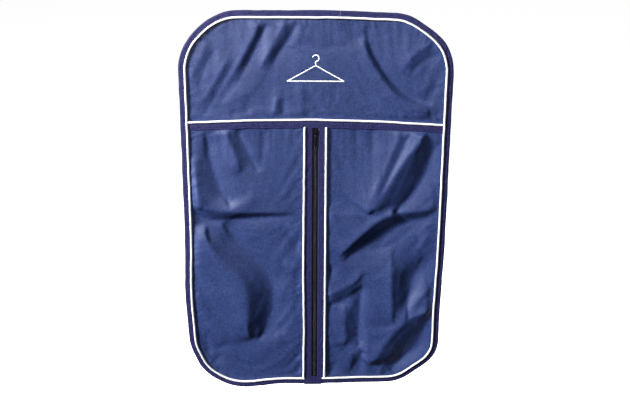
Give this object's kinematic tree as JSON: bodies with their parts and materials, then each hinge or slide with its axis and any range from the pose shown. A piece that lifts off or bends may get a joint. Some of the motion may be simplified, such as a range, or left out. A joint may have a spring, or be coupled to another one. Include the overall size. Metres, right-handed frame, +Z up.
{
  "type": "garment bag",
  "caption": "Flat hanging garment bag of coated cloth with piped seams, a full-length front zip below a yoke, and a slit at the top for the hanger's hook.",
  "frame": {"origin": "middle of the hanger-hook slit, level with the top edge", "axes": "+Z up as the bag hangs, +X across it to the right as seen from the front, +Y from the front, which has the zip, to the back"},
  "size_m": [0.6, 0.0186, 0.892],
  "materials": {
    "body_cloth": "navy coated polyester, fine diagonal weave",
    "binding_tape": "purple-navy woven tape",
    "tack_thread": "close-stitched thread",
    "piping_cover": "white woven cover",
    "piping_filler": "white cotton cord",
    "zip_tape": "black woven tape",
    "zip_coil": "black nylon coil",
    "zip_stop": "black enamel",
    "slider_metal": "black enamel on die-cast zinc",
    "embroidery_thread": "white satin stitch"
  },
  "bodies": {
    "bag": {"back_panel": "body_cloth", "yoke_panel": "body_cloth", "front_left_panel": "body_cloth", "front_right_panel": "body_cloth", "perimeter_binding": "binding_tape", "slit_front_binding": "binding_tape", "slit_back_binding": "binding_tape", "slit_bartacks": "tack_thread", "perimeter_piping": "piping_cover", "perimeter_piping_cord": "piping_filler", "yoke_piping": "piping_cover", "yoke_piping_cord": "piping_filler", "yoke_tape": "binding_tape", "zip_piping_left": "piping_cover", "zip_piping_cord_left": "piping_filler", "zip_piping_right": "piping_cover", "zip_piping_cord_right": "piping_filler", "zip_binding_left": "binding_tape", "zip_binding_right": "binding_tape", "zip_tape_left": "zip_tape", "zip_tape_right": "zip_tape", "zip_coil_left": "zip_coil", "zip_coil_right": "zip_coil", "zip_top_stops": "zip_stop", "zip_bottom_stop": "zip_stop", "zip_end_tab": "binding_tape", "yoke_embroidery": "embroidery_thread"},
    "slider": {"slider_body": "slider_metal"},
    "pull": {"pull_tab": "slider_metal"}
  },
  "joints": [
    {"name": "slider_slide", "type": "slide", "parent": "bag", "child": "slider", "axis": [0, 0, -1], "range_m": [0, 0.5945]},
    {"name": "pull_swing", "type": "hinge", "parent": "slider", "child": "pull", "pos_m": [0, -0.009, -0.2674], "axis": [-1, 0, 0], "range_deg": [0, 170]}
  ]
}
